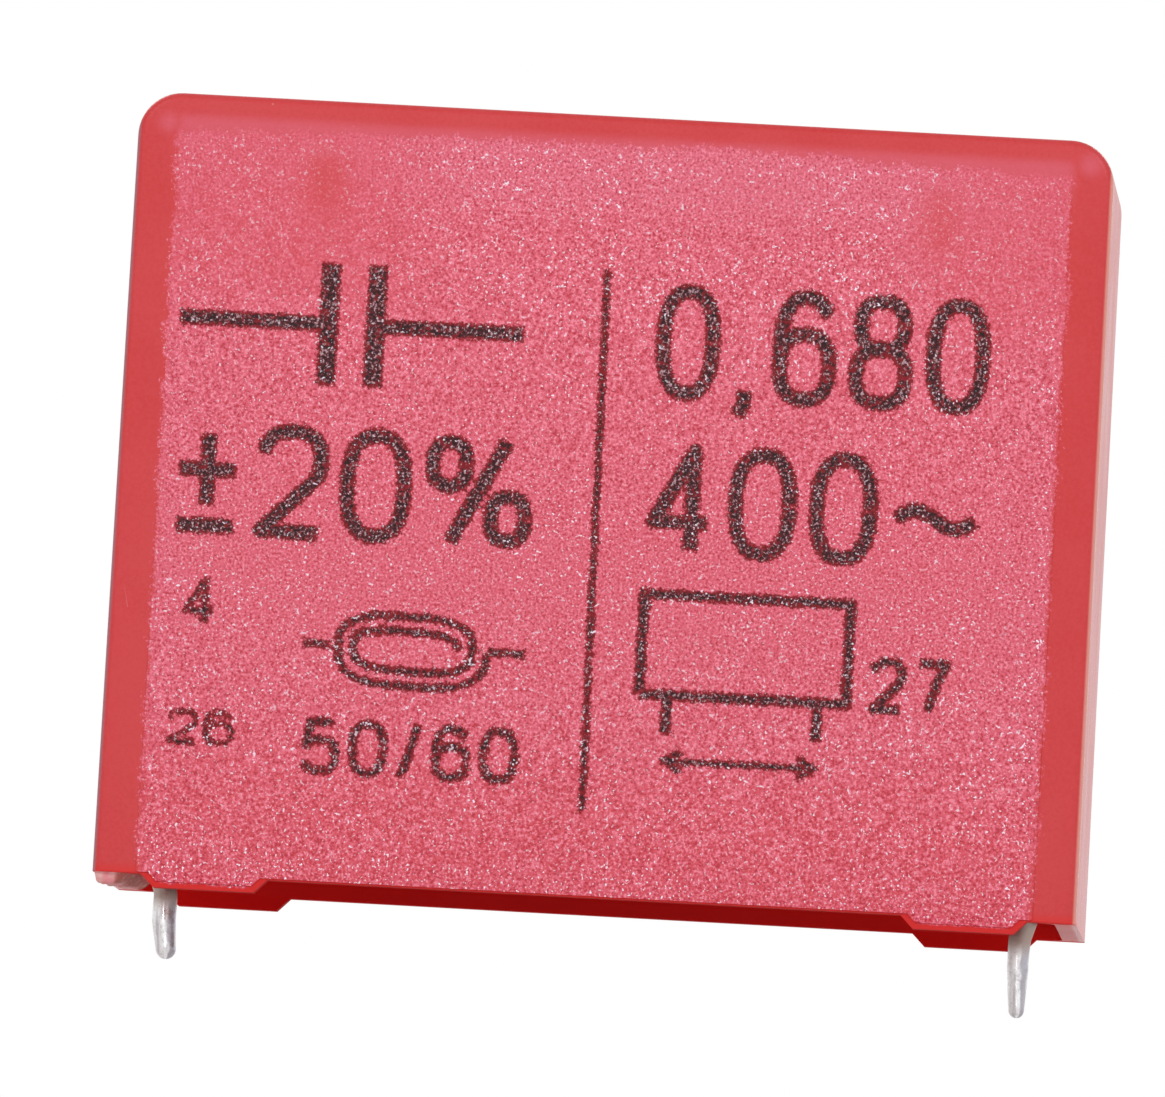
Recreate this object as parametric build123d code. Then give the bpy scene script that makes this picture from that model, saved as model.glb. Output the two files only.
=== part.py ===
from build123d import *
from math import cos, radians, sin, tan
import os

# Box film capacitor: a five-sided moulded case, open downwards, holding a flattened film
# winding that is sealed in with cast resin. Two tinned wires leave the open side.
# The origin is midway between the two wires, on the plane of the case's feet:
# +X runs to the right wire, +Y to the back and +Z up. Lengths in millimetres, angles in degrees.

# Case, outside, at its open rim
CASE_LENGTH = 31.4
CASE_THICKNESS = 15.0
CASE_HEIGHT = 25.4
OUTER_DRAFT = 0.25
TOP_CORNER_RADIUS = 1.4
BORDER_WIDTH = 1.2
BORDER_FALL = 0.10
OUTER_EDGE_RADIUS = 0.25

# Case, inside
SIDE_WALL = 0.7
FRONT_WALL = 0.8
ROOF = 0.9
CAVITY_DRAFT = 0.35
CAVITY_CORNER_RADIUS = 0.5

# Feet: the front and back walls each stand on two low feet
FOOT_HEIGHT = 0.42
FOOT_LENGTH = 3.2
FOOT_SETBACK = 1.98
FOOT_SLOPE = 45.0

# Grained panel on the front and on the back, a little proud of its smooth border
PANEL_SIDE_MARGIN = 0.2
PANEL_TOP_MARGIN = 0.03
PANEL_RISE_TOP = 0.01
PANEL_RISE_RIM = 0.05
PANEL_FOOT_BAND = 0.20
PANEL_RIM_BAND = 0.05
PANEL_CORNER_RADIUS = 0.15

# Resin: its face lies inside the rim, and climbs the walls and the wires a little
RESIN_DEPTH = 1.3
WALL_CLIMB = 0.35
WALL_CLIMB_LIP = 0.05
WIRE_CLIMB = 0.25
WIRE_CLIMB_LIP = 0.06
WIRE_CLIMB_SPREAD = 0.3

# Winding, the plain film wrapped round it, and the metal sprayed on its two ends
WINDING_COVER = 1.2
WINDING_GAP_SIDE = 0.55
WINDING_GAP_ROOF = 0.7
WINDING_EDGE_FLAT = 0.24
WRAP_THICKNESS = 0.15
SPRAY_THICKNESS = 0.6
SPRAY_EDGE_RADIUS = 0.15

# Wires: each is welded to the sprayed metal, leans out a little and then goes straight down
WIRE_DIAMETER = 0.8
WIRE_INSET = 1.95
WIRE_LEAN = 0.2
WIRE_LEAN_START = 0.15
WIRE_LEAN_GAP = 0.45
WIRE_BEND_RADIUS = 0.7
WIRE_FLAT_THICKNESS = 0.5
WIRE_FLAT_WIDTH = 1.0
WIRE_FLAT_GAP = 0.2
WIRE_FLAT_RUN = 0.8
WIRE_TOP_GAP = 6.5
WELD_SINK = 0.1
LEFT_WIRE_REACH = 2.0
LEFT_WIRE_STRAIGHT = 0.7
LEFT_WIRE_TILT = 7.0
LEFT_WIRE_END = 0.70
RIGHT_WIRE_REACH = 2.4
RIGHT_WIRE_STRAIGHT = 0.8
RIGHT_WIRE_TILT = 1.5
RIGHT_WIRE_END = 0.56

# Places that follow from the sizes above
HALF_LENGTH = CASE_LENGTH / 2
HALF_THICKNESS = CASE_THICKNESS / 2
FOOT_OUT = HALF_LENGTH - FOOT_SETBACK
FOOT_IN = FOOT_OUT - FOOT_LENGTH
PANEL_HALF = HALF_LENGTH - BORDER_WIDTH - PANEL_SIDE_MARGIN
PANEL_TOP = CASE_HEIGHT - BORDER_WIDTH - PANEL_TOP_MARGIN
CAVITY_TOP = CASE_HEIGHT - ROOF
CAVITY_LENGTH = CASE_LENGTH - 2 * SIDE_WALL
CAVITY_THICKNESS = CASE_THICKNESS - 2 * FRONT_WALL
CAVITY_LOSS = 2 * CAVITY_TOP * tan(radians(CAVITY_DRAFT))
WIRE_RADIUS = WIRE_DIAMETER / 2
WIRE_X = HALF_LENGTH - WIRE_INSET
WELD_X = WIRE_X + WIRE_LEAN
SPRAY_OUT = WELD_X - WIRE_FLAT_THICKNESS / 2 + WELD_SINK
WINDING_HALF = SPRAY_OUT - SPRAY_THICKNESS
WRAP_BOTTOM = RESIN_DEPTH + WINDING_COVER
WRAP_TOP = CAVITY_TOP - WINDING_GAP_ROOF
WRAP_THROUGH = CAVITY_THICKNESS - CAVITY_LOSS - 2 * WINDING_GAP_SIDE


def tapered_block(length, thickness, bottom, top, draft):
    """A block whose four sides lean in by the draft, from its bottom face up."""
    base = Plane.XY.offset(bottom) * Rectangle(length, thickness)
    return extrude(base, amount=top - bottom, taper=draft)


def carried_in_y(points):
    """An X-Z outline carried right through the case from front to back."""
    face = make_face(Plane.XZ * Polyline(*points, close=True))
    return extrude(face, amount=CASE_THICKNESS, both=True)


def rim_line(foot_level, rim_level, end):
    """The X-Z line of a rim from left to right: raised ends, two feet and a raised middle."""
    pull = foot_level * tan(radians(FOOT_SLOPE / 2))
    rise = (rim_level - foot_level) / tan(radians(FOOT_SLOPE))
    right = [
        (FOOT_IN + pull - rise, rim_level),
        (FOOT_IN + pull, foot_level),
        (FOOT_OUT - pull, foot_level),
        (FOOT_OUT - pull + rise, rim_level),
        (end, rim_level),
    ]
    return [(-x, z) for x, z in reversed(right)] + right


def case_outside():
    """The case's outer form before its rim is cut: drafted, with bevelled borders and round edges."""
    block = tapered_block(CASE_LENGTH, CASE_THICKNESS, 0, CASE_HEIGHT, OUTER_DRAFT)
    block = fillet(block.edges().filter_by(Axis.Y).group_by(Axis.Z)[-1], TOP_CORNER_RADIUS)
    for place in (0, -1):
        wall = block.faces().sort_by(Axis.Y)[place]
        floor_edges = block.faces().sort_by(Axis.Z)[0].edges()
        border = [e for e in wall.edges() if e not in floor_edges]
        block = chamfer(border, BORDER_WIDTH, BORDER_FALL, reference=wall)
    floor = block.faces().sort_by(Axis.Z)[0]
    ring = [f for f in block.faces() if f.bounding_box().size.Y > HALF_THICKNESS and f != floor]
    seams = [e for f in ring for e in f.edges() if e.bounding_box().size.Y < HALF_THICKNESS]
    return fillet([e for e in seams if e not in floor.edges()], OUTER_EDGE_RADIUS)


def cavity():
    """The space inside the case: the mould's core fills it, and later the resin and the winding."""
    core = tapered_block(CAVITY_LENGTH, CAVITY_THICKNESS, 0, CAVITY_TOP, CAVITY_DRAFT)
    floor_edges = core.faces().sort_by(Axis.Z)[0].edges()
    return fillet([e for e in core.edges() if e not in floor_edges], CAVITY_CORNER_RADIUS)


def panel(side):
    """The grained panel of the front (side -1) or back (side 1) wall, as a thin wedge on that wall."""
    lost = PANEL_TOP * tan(radians(OUTER_DRAFT))
    section = [
        (side * (HALF_THICKNESS - FRONT_WALL / 2 - lost), 0),
        (side * (HALF_THICKNESS + PANEL_RISE_RIM), 0),
        (side * (HALF_THICKNESS - lost + PANEL_RISE_TOP), PANEL_TOP),
        (side * (HALF_THICKNESS - FRONT_WALL / 2 - lost), PANEL_TOP),
    ]
    wedge = extrude(make_face(Plane.YZ * Polyline(*section, close=True)), amount=PANEL_HALF, both=True)
    wedge = fillet(wedge.edges().filter_by(Axis.Y).group_by(Axis.Z)[-1], PANEL_CORNER_RADIUS)
    lower = rim_line(PANEL_FOOT_BAND, FOOT_HEIGHT + PANEL_RIM_BAND, HALF_LENGTH)
    window = lower + [(HALF_LENGTH, CASE_HEIGHT), (-HALF_LENGTH, CASE_HEIGHT)]
    return wedge & carried_in_y(window)


def make_case():
    """The moulded case: one open box with feet, bevelled borders and two grained panels."""
    below = rim_line(0, FOOT_HEIGHT, CASE_LENGTH)
    below += [(CASE_LENGTH, -CASE_HEIGHT), (-CASE_LENGTH, -CASE_HEIGHT)]
    shell = case_outside() + panel(-1) + panel(1)
    return shell - cavity() - carried_in_y(below)


def roll(through, bottom, top, half_length):
    """A flattened roll of film, lying along X between the two half lengths."""
    radius = (min(through, top - bottom) - WINDING_EDGE_FLAT) / 2
    outline = Plane.YZ * Pos(0, (top + bottom) / 2) * RectangleRounded(through, top - bottom, radius)
    return extrude(outline, amount=half_length, both=True)


def make_winding():
    """The flattened winding of metallised film, its turns as one solid."""
    inside = WRAP_THROUGH - 2 * WRAP_THICKNESS
    return roll(inside, WRAP_BOTTOM + WRAP_THICKNESS, WRAP_TOP - WRAP_THICKNESS, WINDING_HALF)


def make_wrap():
    """The plain film wrapped round the winding, as wide as the winding is long."""
    return roll(WRAP_THROUGH, WRAP_BOTTOM, WRAP_TOP, WINDING_HALF) - make_winding()


def make_spray(side, wire):
    """The metal sprayed on one end of the winding, with the groove of the wire welded to it."""
    plate = roll(WRAP_THROUGH, WRAP_BOTTOM, WRAP_TOP, SPRAY_THICKNESS / 2)
    outer_face = plate.faces().sort_by(Axis.X)[-1 if side > 0 else 0]
    plate = fillet(outer_face.edges(), SPRAY_EDGE_RADIUS)
    return Pos(side * (SPRAY_OUT - SPRAY_THICKNESS / 2), 0, 0) * plate - wire


def rod_along(path):
    """Round wire along a path that starts at its lower end."""
    return sweep(Plane(path @ 0, z_dir=path % 0) * Circle(WIRE_RADIUS), path=path)


def make_wire(side, reach, straight, tilt, end_diameter):
    """One lead wire: flat at its weld, round from there on, bent a little and rounded at its end."""
    flat_bottom = WRAP_BOTTOM - WIRE_FLAT_GAP
    flat_top = WRAP_TOP - WIRE_TOP_GAP
    round_top = flat_bottom - WIRE_FLAT_RUN
    lean = Plane.XZ * FilletPolyline(
        (side * WIRE_X, 0),
        (side * WIRE_X, WIRE_LEAN_START),
        (side * WELD_X, RESIN_DEPTH - WIRE_LEAN_GAP),
        (side * WELD_X, round_top),
        radius=WIRE_BEND_RADIUS,
    )
    pressed = Rot(Z=90) * SlotOverall(WIRE_FLAT_WIDTH, WIRE_FLAT_THICKNESS)
    pressed = Pos(side * WELD_X, 0, flat_bottom) * pressed
    spread = loft([Pos(side * WELD_X, 0, round_top) * Circle(WIRE_RADIUS), pressed])
    weld = extrude(pressed, amount=flat_top - flat_bottom)
    stud = Pos(side * WIRE_X, 0, -straight / 2) * Cylinder(WIRE_RADIUS, straight)

    turn = Plane.XZ * JernArc((side * WIRE_X, -straight), (0, -1), WIRE_BEND_RADIUS, tilt)
    end = turn @ 1
    left = reach - straight - WIRE_BEND_RADIUS * sin(radians(tilt))
    length = left / cos(radians(tilt))
    end_radius = end_diameter / 2
    tip_line = Polyline((0, 0), (WIRE_RADIUS, 0), (end_radius, -length + end_radius))
    tip_arc = RadiusArc(tip_line @ 1, (0, -length), end_radius)
    tip = revolve(Plane.XZ * make_face(tip_line + tip_arc + Line((0, -length), (0, 0))), Axis.Z)
    tip = Pos(*end) * Rot(Y=-tilt) * tip
    return rod_along(lean) + spread + weld + stud + rod_along(turn) + tip


def make_resin(contents):
    """The cast resin: it fills the cavity round its contents, down to the recessed face."""
    level = RESIN_DEPTH - WALL_CLIMB
    lost = 2 * level * tan(radians(CAVITY_DRAFT))
    pocket_length = CAVITY_LENGTH - lost - 2 * WALL_CLIMB_LIP
    pocket_thickness = CAVITY_THICKNESS - lost - 2 * WALL_CLIMB_LIP
    pocket = tapered_block(pocket_length, pocket_thickness, 0, RESIN_DEPTH, 0)
    pocket = fillet(pocket.edges().filter_by(Axis.Z), CAVITY_CORNER_RADIUS)
    pocket = fillet(pocket.faces().sort_by(Axis.Z)[-1].edges(), WALL_CLIMB)
    below = Pos(0, 0, level / 2) * Box(CASE_LENGTH, CASE_THICKNESS, level)
    cast = cavity() - below - pocket
    for side in (-1, 1):
        climb = Cone(WIRE_RADIUS + WIRE_CLIMB_LIP, WIRE_RADIUS + WIRE_CLIMB_SPREAD, WIRE_CLIMB)
        cast += Pos(side * WELD_X, 0, RESIN_DEPTH - WIRE_CLIMB / 2) * climb
    for piece in contents:
        cast -= piece
    return cast


left_wire = make_wire(-1, LEFT_WIRE_REACH, LEFT_WIRE_STRAIGHT, LEFT_WIRE_TILT, LEFT_WIRE_END)
right_wire = make_wire(1, RIGHT_WIRE_REACH, RIGHT_WIRE_STRAIGHT, RIGHT_WIRE_TILT, RIGHT_WIRE_END)
parts = {
    "case": make_case(),
    "film_winding": make_winding(),
    "outer_wrap": make_wrap(),
    "left_end_spray": make_spray(-1, left_wire),
    "right_end_spray": make_spray(1, right_wire),
    "left_lead": left_wire,
    "right_lead": right_wire,
}
parts["resin_seal"] = make_resin([part for name, part in parts.items() if name != "case"])

os.makedirs("parts", exist_ok=True)
for name, part in parts.items():
    export_step(part, f"parts/{name}.step")
    print(name, round(part.volume, 3))
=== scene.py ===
"""The looks of a box film capacitor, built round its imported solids.

Blender works in metres. Sizes of the object are written in millimetres and turned
into metres with MM. The object's frame is that of its solids: +X runs to the right
lead, +Y to the back and +Z up, with the origin midway between the leads at the feet.
"""

from __future__ import annotations

import logging
import math
from collections.abc import Callable, Sequence
from dataclasses import dataclass, field
from enum import Enum
from functools import cached_property
from itertools import pairwise

import bmesh
import bpy
import numpy as np
from mathutils import Matrix, Vector, noise
from mathutils.bvhtree import BVHTree

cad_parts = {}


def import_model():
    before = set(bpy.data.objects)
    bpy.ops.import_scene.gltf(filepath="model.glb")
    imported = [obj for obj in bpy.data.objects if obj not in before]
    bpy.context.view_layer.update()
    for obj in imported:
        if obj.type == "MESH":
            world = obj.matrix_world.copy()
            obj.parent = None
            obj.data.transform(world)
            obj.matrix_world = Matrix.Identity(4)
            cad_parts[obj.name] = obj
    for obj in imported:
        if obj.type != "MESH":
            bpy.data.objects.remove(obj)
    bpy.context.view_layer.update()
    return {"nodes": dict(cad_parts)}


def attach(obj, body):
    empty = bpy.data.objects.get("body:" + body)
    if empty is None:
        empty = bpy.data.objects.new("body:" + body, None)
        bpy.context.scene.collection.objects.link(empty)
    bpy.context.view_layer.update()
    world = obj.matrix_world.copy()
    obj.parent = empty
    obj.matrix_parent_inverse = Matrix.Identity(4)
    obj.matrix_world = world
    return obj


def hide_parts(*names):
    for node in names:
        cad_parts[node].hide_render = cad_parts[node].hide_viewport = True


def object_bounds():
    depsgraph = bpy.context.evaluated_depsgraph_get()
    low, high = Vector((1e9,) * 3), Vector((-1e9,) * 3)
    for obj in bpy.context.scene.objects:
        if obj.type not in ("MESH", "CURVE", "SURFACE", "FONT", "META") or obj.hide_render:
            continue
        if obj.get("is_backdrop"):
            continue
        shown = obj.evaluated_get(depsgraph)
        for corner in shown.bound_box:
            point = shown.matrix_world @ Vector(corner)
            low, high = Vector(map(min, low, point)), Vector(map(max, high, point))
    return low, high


MM = 0.001
TOUCHING = 1e-4 * MM
CUTTING = 1e-5 * MM
ORIGIN = (0.0, 0.0, 0.0)
ELSEWHERE = (7.1, 3.3, 5.7)
LOG = logging.getLogger("film_capacitor")

Node = bpy.types.Node
Socket = bpy.types.NodeSocket
Material = bpy.types.Material
Piece = bpy.types.Object
Shape = bmesh.types.BMesh
Colour = tuple[float, float, float]
Point = tuple[float, float]
Place = tuple[float, float, float]
Line = list[Point]
Span = tuple[float, float]
Band = tuple[float, float, float]


class Slot(Enum):
    """The record's material slots by name; the new pieces build their own finishes and don't read these.
    """

    CASE = "case_red"
    RESIN = "resin_red"
    WIRE = "tinned_wire"


class Face(Enum):
    """A large face of the case, with the sign of its outward direction along Y."""

    FRONT = -1
    BACK = 1


# Node wiring


class Level:
    """What a socket carries over a surface, ready to reckon with."""

    def __init__(self, wiring: Wiring, socket: Socket) -> None:
        """Keep the socket and the wiring that it is part of."""
        self.wiring, self.socket = wiring, socket

    def __add__(self, other: Value) -> Level:
        """This and the other together."""
        return self.wiring.math("ADD", self, other)

    def __sub__(self, other: Value) -> Level:
        """This less the other."""
        return self.wiring.math("SUBTRACT", self, other)

    def __rsub__(self, other: Value) -> Level:
        """The other less this."""
        return self.wiring.math("SUBTRACT", other, self)

    def __mul__(self, other: Value) -> Level:
        """This times the other."""
        return self.wiring.math("MULTIPLY", self, other)

    def __truediv__(self, other: Value) -> Level:
        """This divided by the other."""
        return self.wiring.math("DIVIDE", self, other)

    def __rtruediv__(self, other: Value) -> Level:
        """The other divided by this."""
        return self.wiring.math("DIVIDE", other, self)

    def over(self, other: Value) -> Level:
        """The larger of this and the other."""
        return self.wiring.math("MAXIMUM", self, other)

    def spread(self, low: float, high: float, to_low: float = 0.0, to_high: float = 1.0) -> Level:
        """The stretch from low to high, mapped smoothly to the one from to_low to to_high."""
        values = (self, low, high, to_low, to_high)
        return self.wiring.out(self.wiring.node("MapRange", *values, interpolation_type="SMOOTHSTEP"))

    def within(self, low: float, high: float, soft: float) -> Level:
        """A mask of where this lies between two limits, with soft edges."""
        near = self.wiring.math("MINIMUM", self - low, high - self)
        return near.spread(-soft, soft)


Value = Level | Socket | float | tuple


class Wiring:
    """Adds nodes to one node tree and joins them."""

    def __init__(self, tree: bpy.types.NodeTree) -> None:
        """Keep the tree that the nodes go into."""
        self.tree = tree

    def put(self, target: Socket, value: Value) -> None:
        """Join a value to an input, or set a constant on it.

        Args:
            target: The input socket.
            value: A level, another socket, a number, or a tuple for a colour or vector.
        """
        if isinstance(value, Level):
            value = value.socket
        if isinstance(value, Socket):
            self.tree.links.new(value, target)
        elif target.type == "RGBA":
            target.default_value = (*value, 1.0)
        else:
            target.default_value = value

    def node(self, kind: str, *values: Value, **settings: object) -> Node:
        """Add one node.

        Args:
            kind: The node's type without the words ShaderNode, such as Math.
            *values: What goes into its first inputs.
            **settings: Properties of the node itself, by name.

        Returns:
            The new node.
        """
        made = self.tree.nodes.new(f"ShaderNode{kind}")
        for name, value in settings.items():
            setattr(made, name, value)
        for target, value in zip(made.inputs, values):
            self.put(target, value)
        return made

    def fill(self, made: Node, **values: Value) -> Node:
        """Fill some inputs of a node.

        Args:
            made: The node.
            **values: What goes into its inputs, by name with _ for a space.

        Returns:
            The same node.
        """
        for name, value in values.items():
            self.put(made.inputs[name.replace("_", " ")], value)
        return made

    def out(self, made: Node, label: str | int = 0) -> Level:
        """One output of a node."""
        return Level(self, made.outputs[label])

    def math(self, operation: str, *values: Value, clamp: bool = False) -> Level:
        """One number worked out from others, and kept between 0 and 1 if it is to be clamped."""
        return self.out(self.node("Math", *values, operation=operation, use_clamp=clamp))

    def vector(self, operation: str, *values: Value) -> Level:
        """A vector worked out from others, or their distance or product as one number."""
        made = self.node("VectorMath", *values, operation=operation)
        return self.out(made, "Value" if operation in ("DISTANCE", "DOT_PRODUCT") else "Vector")

    def layers(self, colour: Value, *coats: tuple[Value, Value]) -> Value:
        """Lay colours over one another.

        Args:
            colour: The lowest colour.
            *coats: How much of each further colour shows, with that colour.

        Returns:
            The colour that is seen.
        """
        for share, coat in coats:
            mixed = self.node("Mix", share, data_type="RGBA")
            self.put(mixed.inputs[6], colour)
            self.put(mixed.inputs[7], coat)
            colour = self.out(mixed, 2)
        return colour

    def noise(self, place: Value, scale: Value, detail: float = 2.0, roughness: float = 0.5) -> Level:
        """Soft noise between 0 and 1, with so many features for each unit of the place."""
        values = {"Vector": place, "Scale": scale, "Detail": detail, "Roughness": roughness}
        return self.out(self.fill(self.node("TexNoise"), **values), "Fac")

    def axes(self, place: Value) -> list[Level]:
        """The X, Y and Z of a place."""
        return [Level(self, part) for part in self.node("SeparateXYZ", place).outputs]

    def attribute(self, name: str) -> Level:
        """A number stored on the mesh's points under a name."""
        return self.out(self.node("Attribute", attribute_name=name), "Fac")

    def use(self, group: bpy.types.NodeTree, **values: Value) -> dict[str, Level]:
        """What a shader group puts out by name, for inputs given by name."""
        made = self.fill(self.node("Group", node_tree=group), **values)
        return {part.name: Level(self, part) for part in made.outputs}

    def bump(self, height: Level, depth: float) -> Level:
        """The normal of a height between 0 and 1, for a depth in millimetres."""
        made = self.fill(self.node("Bump"), Strength=1.0, Distance=depth * MM, Height=height)
        return self.out(made, "Normal")


Levels = dict[str, Level]
Looks = dict[str, Value]


class Effects:
    """The shader groups that several finishes share, each built once."""

    def __init__(self) -> None:
        """Build every group."""
        ends = {"Place": ORIGIN, "From": ORIGIN, "To": ORIGIN}
        self.grain = self._group("spark_grain", self._grain, Place=ORIGIN, Cell=0.12)
        self.drift = self._group("slow_drift", self._drift, Place=ORIGIN, Patch=3.0)
        self.specks = self._group("dust_specks", self._specks, Place=ORIGIN, Spacing=1.2, Size=0.05)
        self.scratch = self._group("scratch", self._scratch, **ends, Width=0.05)

    @staticmethod
    def _group(
        name: str, work: Callable[[Wiring, Levels], Levels], **inputs: Value
    ) -> bpy.types.NodeTree:
        """Build one group with named sockets.

        Args:
            name: The group's name.
            work: Wires what it puts out, by name, from what goes into it.
            **inputs: Each input's value when nothing is joined to it.

        Returns:
            The group's tree.
        """
        tree = bpy.data.node_groups.new(name, "ShaderNodeTree")
        w = Wiring(tree)
        for label, value in inputs.items():
            kind = "NodeSocketVector" if value is ORIGIN else "NodeSocketFloat"
            made = tree.interface.new_socket(name=label, in_out="INPUT", socket_type=kind)
            made.default_value = value
        start = tree.nodes.new("NodeGroupInput")
        found = work(w, {label: w.out(start, label) for label in inputs})
        for label in found:
            tree.interface.new_socket(name=label, in_out="OUTPUT", socket_type="NodeSocketFloat")
        w.fill(tree.nodes.new("NodeGroupOutput"), **found)
        return tree

    @staticmethod
    def _grain(w: Wiring, given: Levels) -> Levels:
        """Wire the spark-eroded grain: uneven crests with pits, and painted glints on a few facets.

        Args:
            w: The group's wiring.
            given: The group's inputs.

        Returns:
            The height, and masks of the crests, pits and painted glints.
        """
        scale = 1.0 / given["Cell"]
        height = w.noise(given["Place"], scale, detail=1.5, roughness=0.6)
        elsewhere = w.vector("ADD", given["Place"], ELSEWHERE)
        painted_glint = w.noise(elsewhere, scale * 0.90, detail=1.0)
        crest, pit = height.spread(0.50, 0.68), height.spread(0.47, 0.32)
        return {"Height": height, "Crest": crest, "Pit": pit, "Facet": painted_glint.spread(0.62, 0.74)}

    @staticmethod
    def _drift(w: Wiring, given: Levels) -> Levels:
        """Wire a slow change over the surface, between 0 and 1."""
        level = w.noise(given["Place"], 1.0 / given["Patch"])
        return {"Level": level.spread(0.28, 0.72)}

    @staticmethod
    def _specks(w: Wiring, given: Levels) -> Levels:
        """Wire scattered specks of dust.

        Args:
            w: The group's wiring.
            given: The group's inputs.

        Returns:
            Their mask.
        """
        cells = w.node("TexVoronoi", feature="F1")
        w.fill(cells, Vector=given["Place"], Scale=1.0 / given["Spacing"], Randomness=1.0)
        reach = w.out(cells, "Distance") * given["Spacing"]
        own = w.out(w.node("SeparateColor", w.out(cells, "Color"))) * given["Size"]
        return {"Mask": (own - reach).spread(0.0, 0.012)}

    @staticmethod
    def _scratch(w: Wiring, given: Levels) -> Levels:
        """Wire one short scratch between two points.

        Args:
            w: The group's wiring.
            given: The group's inputs.

        Returns:
            Its mask.
        """
        run = w.vector("SUBTRACT", given["To"], given["From"])
        off = w.vector("SUBTRACT", given["Place"], given["From"])
        dots = [w.vector("DOT_PRODUCT", way, run) for way in (off, run)]
        nearest = w.vector("MULTIPLY", run, w.math("DIVIDE", *dots, clamp=True))
        half = given["Width"] * 0.5
        inside = (half - w.vector("DISTANCE", off, nearest)) / half
        return {"Mask": inside.spread(-0.2, 0.6)}


class Surface(Wiring):
    """A finish's wiring, with the piece's own coordinates and the shared effects at hand."""

    def __init__(self, tree: bpy.types.NodeTree, effects: Effects) -> None:
        """Keep the tree and the shared effects."""
        super().__init__(tree)
        self.effects = effects

    @cached_property
    def place(self) -> Level:
        """The piece's own coordinates, in millimetres."""
        return self.vector("MULTIPLY", self.out(self.node("TexCoord"), "Object"), (1 / MM,) * 3)

    @cached_property
    def at(self) -> list[Level]:
        """The X, Y and Z of the place."""
        return self.axes(self.place)

    @cached_property
    def away(self) -> list[Level]:
        """How far the place is from the middle along X, Y and Z."""
        return self.axes(self.vector("ABSOLUTE", self.place))

    @cached_property
    def ragged(self) -> Level:
        """Fine noise that frays edges."""
        return self.noise(self.place, 1 / 0.12, roughness=0.7)

    def drift(self, patch: float, place: Level | None = None) -> Level:
        """A slow change over the surface, in patches of so many millimetres."""
        return self.use(self.effects.drift, Place=place or self.place, Patch=patch)["Level"]

    def grain(self, cell: float, place: Level | None = None) -> Levels:
        """The spark-eroded grain, in cells of so many millimetres."""
        return self.use(self.effects.grain, Place=place or self.place, Cell=cell)

    def dust(self, spacing: float, size: float) -> Level:
        """Specks of dust, with their spacing and greatest size in millimetres."""
        return self.use(self.effects.specks, Place=self.place, Spacing=spacing, Size=size)["Mask"]

    def stretched(self, *factors: float) -> Level:
        """The place with its X, Y and Z multiplied, for patterns that run one way."""
        return self.vector("MULTIPLY", self.place, factors)


# Finishes


@dataclass(frozen=True)
class Finish:
    """What every finish has: a name, and one Principled shader whose inputs it fills."""

    name: str

    def build(self, effects: Effects) -> Material:
        """Build the material.

        Args:
            effects: The shared groups.

        Returns:
            The material.
        """
        material = bpy.data.materials.new(self.name)
        material.use_nodes = True
        w = Surface(material.node_tree, effects)
        w.fill(w.tree.nodes["Principled BSDF"], **self.paint(w))
        return material

    def paint(self, w: Surface) -> Looks:
        """Work out what goes into the shader's inputs, by name with _ for a space."""
        raise NotImplementedError


@dataclass(frozen=True)
class HighlightSpot:
    """A soft round painted highlight on the case, where light falls on a corner."""

    centre: Place
    radius: float
    share: float


@dataclass(frozen=True)
class Scuff:
    """A short scratch on the case."""

    start: Place
    end: Place
    width: float
    share: float


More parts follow.
